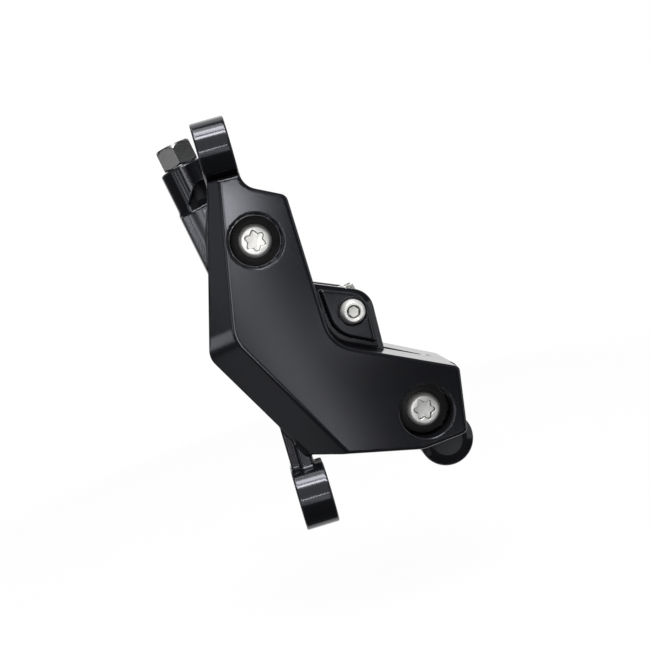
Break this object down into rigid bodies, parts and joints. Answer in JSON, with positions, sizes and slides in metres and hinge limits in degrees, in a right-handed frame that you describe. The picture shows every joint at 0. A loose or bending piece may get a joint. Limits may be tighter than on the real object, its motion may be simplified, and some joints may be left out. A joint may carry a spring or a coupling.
{
  "type": "hydraulic disc brake caliper",
  "caption": "Post-mount hydraulic disc brake caliper for a bicycle, with bolted black halves, slotted ears, opposed pistons, sprung pads on a pin, a hose inlet and a capped bleed port.",
  "frame": {"origin": "midway between the centres of the mounting slots, on the plane of the ears' seat faces", "axes": "+X along the mounting bolts, away from the frame's posts; +Y along the disc's axis, from the outboard face to the wheel; +Z from the lower mounting slot to the upper one"},
  "size_m": [0.0519, 0.0455, 0.0873],
  "materials": {
    "outboard_housing_anodised": "satin black anodised",
    "inboard_housing_anodised": "satin black anodised",
    "bolt_steel": "satin, with a dark flange",
    "piston_phenolic": "moulded and ground",
    "seal_rubber": "smooth",
    "backing_steel": "plated",
    "lining_sintered": "rough sintered",
    "spring_steel": "bright sheet",
    "pin_steel": "bright",
    "clip_steel": "dull",
    "plug_aluminium": "dull",
    "nut_metal": "dark satin",
    "olive_brass": "bright",
    "valve_steel": "satin",
    "cap_rubber": "moulded"
  },
  "bodies": {
    "housing": {"outboard_housing": "outboard_housing_anodised", "inboard_housing": "inboard_housing_anodised", "upper_body_bolt": "bolt_steel", "lower_body_bolt": "bolt_steel", "outboard_leading_seal": "seal_rubber", "outboard_trailing_seal": "seal_rubber", "inboard_leading_seal": "seal_rubber", "inboard_trailing_seal": "seal_rubber", "pad_spring": "spring_steel", "pad_pin": "pin_steel", "pad_pin_clip": "clip_steel", "crossover_seal": "seal_rubber", "gallery_plugs": "plug_aluminium", "hose_nut": "nut_metal", "hose_olive": "olive_brass", "bleed_valve_seal": "seal_rubber"},
    "outboard_pad": {"outboard_pad_backing": "backing_steel", "outboard_pad_lining": "lining_sintered"},
    "inboard_pad": {"inboard_pad_backing": "backing_steel", "inboard_pad_lining": "lining_sintered"},
    "outboard_leading_piston": {"outboard_leading_piston": "piston_phenolic"},
    "outboard_trailing_piston": {"outboard_trailing_piston": "piston_phenolic"},
    "inboard_leading_piston": {"inboard_leading_piston": "piston_phenolic"},
    "inboard_trailing_piston": {"inboard_trailing_piston": "piston_phenolic"},
    "bleed_valve": {"bleed_valve": "valve_steel"},
    "bleed_port_cap": {"bleed_port_cap": "cap_rubber"}
  },
  "joints": [
    {"name": "outboard_pad_slide", "type": "slide", "parent": "housing", "child": "outboard_pad", "axis": [0, 1, 0], "range_m": [0, 0.0014], "deforming": ["pad_spring"]},
    {"name": "inboard_pad_slide", "type": "slide", "parent": "housing", "child": "inboard_pad", "axis": [0, -1, 0], "range_m": [0, 0.0014]},
    {"name": "outboard_leading_piston_slide", "type": "slide", "parent": "housing", "child": "outboard_leading_piston", "axis": [0, 1, 0], "range_m": [0, 0.0014]},
    {"name": "outboard_trailing_piston_slide", "type": "slide", "parent": "housing", "child": "outboard_trailing_piston", "axis": [0, 1, 0], "range_m": [0, 0.0014]},
    {"name": "inboard_leading_piston_slide", "type": "slide", "parent": "housing", "child": "inboard_leading_piston", "axis": [0, -1, 0], "range_m": [0, 0.0014]},
    {"name": "inboard_trailing_piston_slide", "type": "slide", "parent": "housing", "child": "inboard_trailing_piston", "axis": [0, -1, 0], "range_m": [0, 0.0014]},
    {"name": "bleed_valve_turn", "type": "hinge", "parent": "housing", "child": "bleed_valve", "pos_m": [0.03574, 0.0305, -0.03793], "axis": [0, 1, 0], "range_deg": [0, 90]},
    {"name": "bleed_port_cap_pull", "type": "slide", "parent": "housing", "child": "bleed_port_cap", "axis": [0, 1, 0], "range_m": [0, 0.012]}
  ],
  "couplings": [
    {"joint": "inboard_pad_slide", "follows": "outboard_pad_slide", "ratio": 1},
    {"joint": "outboard_leading_piston_slide", "follows": "outboard_pad_slide", "ratio": 1},
    {"joint": "outboard_trailing_piston_slide", "follows": "outboard_pad_slide", "ratio": 1},
    {"joint": "inboard_leading_piston_slide", "follows": "outboard_pad_slide", "ratio": 1},
    {"joint": "inboard_trailing_piston_slide", "follows": "outboard_pad_slide", "ratio": 1}
  ]
}
